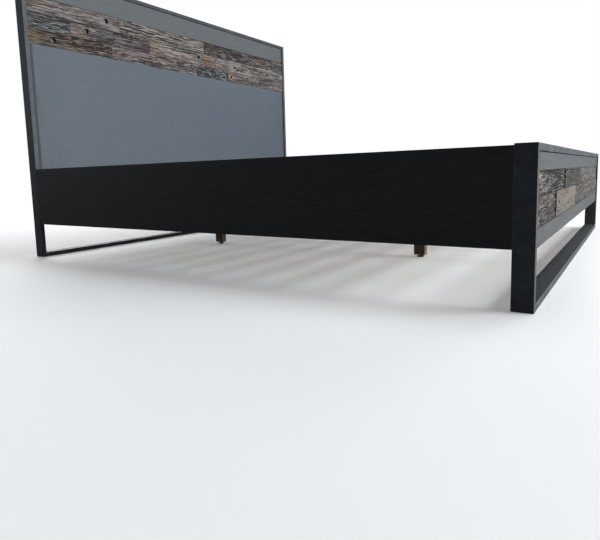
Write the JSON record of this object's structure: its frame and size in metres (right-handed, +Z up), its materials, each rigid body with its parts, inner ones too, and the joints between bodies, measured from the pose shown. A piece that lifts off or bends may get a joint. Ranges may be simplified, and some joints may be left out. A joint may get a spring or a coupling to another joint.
{
  "type": "wooden bed frame",
  "caption": "King bed frame: charcoal steel loops at head and foot filled with reclaimed boards, deep dark side rails, slatted deck and centre legs on levelling glides.",
  "frame": {"origin": "on the floor, under the middle of the bed", "axes": "+X across the bed, +Y from the footboard to the headboard, +Z up"},
  "size_m": [2.07, 2.149, 1.312],
  "materials": {
    "charcoal_steel": "satin charcoal powder coat",
    "charcoal_wood": "smooth charcoal paint with faint grain",
    "black_rail_wood": "near-black satin stain",
    "back_panel_wood": "matt dark painted plywood",
    "reclaimed_grey": "weathered grey reclaimed timber",
    "reclaimed_dark": "dark rough reclaimed timber",
    "reclaimed_tan": "light tan planed reclaimed timber",
    "reclaimed_rose": "rosy grey-brown reclaimed timber",
    "reclaimed_golden": "golden orange-brown reclaimed timber",
    "slat_wood": "planed pine",
    "leg_wood": "brown stained timber",
    "zinc_steel": "zinc plated",
    "brass": "turned",
    "nylon": "moulded black nylon"
  },
  "bodies": {
    "bed": {"beam_hangers": "zinc_steel", "footboard_back_panel": "back_panel_wood", "footboard_board_lower_1": "reclaimed_dark", "footboard_board_lower_2": "reclaimed_tan", "footboard_board_lower_3": "reclaimed_grey", "footboard_board_upper_1": "reclaimed_grey", "footboard_board_upper_2": "reclaimed_grey", "footboard_board_upper_3": "reclaimed_tan", "footboard_floor_bar": "charcoal_steel", "footboard_left_post": "charcoal_steel", "footboard_lower_rail": "charcoal_wood", "footboard_right_post": "charcoal_steel", "footboard_top_bar": "charcoal_steel", "footboard_upper_rail": "charcoal_wood", "hanger_screws": "zinc_steel", "headboard_back_panel": "back_panel_wood", "headboard_board_bottom_1": "reclaimed_golden", "headboard_board_bottom_2": "reclaimed_dark", "headboard_board_bottom_3": "reclaimed_rose", "headboard_board_bottom_4": "reclaimed_dark", "headboard_board_bottom_5": "reclaimed_dark", "headboard_board_middle_1": "reclaimed_dark", "headboard_board_middle_2": "reclaimed_rose", "headboard_board_middle_3": "reclaimed_rose", "headboard_board_middle_4": "reclaimed_golden", "headboard_board_middle_5": "reclaimed_grey", "headboard_board_top_1": "reclaimed_tan", "headboard_board_top_2": "reclaimed_grey", "headboard_board_top_3": "reclaimed_dark", "headboard_board_top_4": "reclaimed_grey", "headboard_floor_bar": "charcoal_steel", "headboard_left_post": "charcoal_steel", "headboard_lower_panel": "charcoal_wood", "headboard_right_post": "charcoal_steel", "headboard_top_bar": "charcoal_steel", "headboard_top_rail": "charcoal_wood", "hook_plate_screws": "zinc_steel", "ledge_screws": "zinc_steel", "leg_bolts": "zinc_steel", "leg_inserts": "brass", "panel_screws": "zinc_steel", "panel_tabs": "charcoal_steel", "rail_hook_plates": "zinc_steel", "side_rail_left": "black_rail_wood", "side_rail_right": "black_rail_wood", "slat_ledge_left": "slat_wood", "slat_ledge_right": "slat_wood", "slat_screws": "zinc_steel", "slats": "slat_wood", "support_beam_left": "slat_wood", "support_beam_right": "slat_wood", "support_leg_foot_left": "leg_wood", "support_leg_foot_right": "leg_wood", "support_leg_head_left": "leg_wood", "support_leg_head_right": "leg_wood"},
    "glide_foot_left": {"leg_glide_foot_left": "nylon"},
    "glide_foot_right": {"leg_glide_foot_right": "nylon"},
    "glide_head_left": {"leg_glide_head_left": "nylon"},
    "glide_head_right": {"leg_glide_head_right": "nylon"}
  },
  "joints": [
    {"name": "glide_foot_left_screw", "type": "slide", "parent": "bed", "child": "glide_foot_left", "axis": [0, 0, -1], "range_m": [-0.004, 0.016]},
    {"name": "glide_foot_right_screw", "type": "slide", "parent": "bed", "child": "glide_foot_right", "axis": [0, 0, -1], "range_m": [-0.004, 0.016]},
    {"name": "glide_head_left_screw", "type": "slide", "parent": "bed", "child": "glide_head_left", "axis": [0, 0, -1], "range_m": [-0.004, 0.016]},
    {"name": "glide_head_right_screw", "type": "slide", "parent": "bed", "child": "glide_head_right", "axis": [0, 0, -1], "range_m": [-0.004, 0.016]}
  ]
}
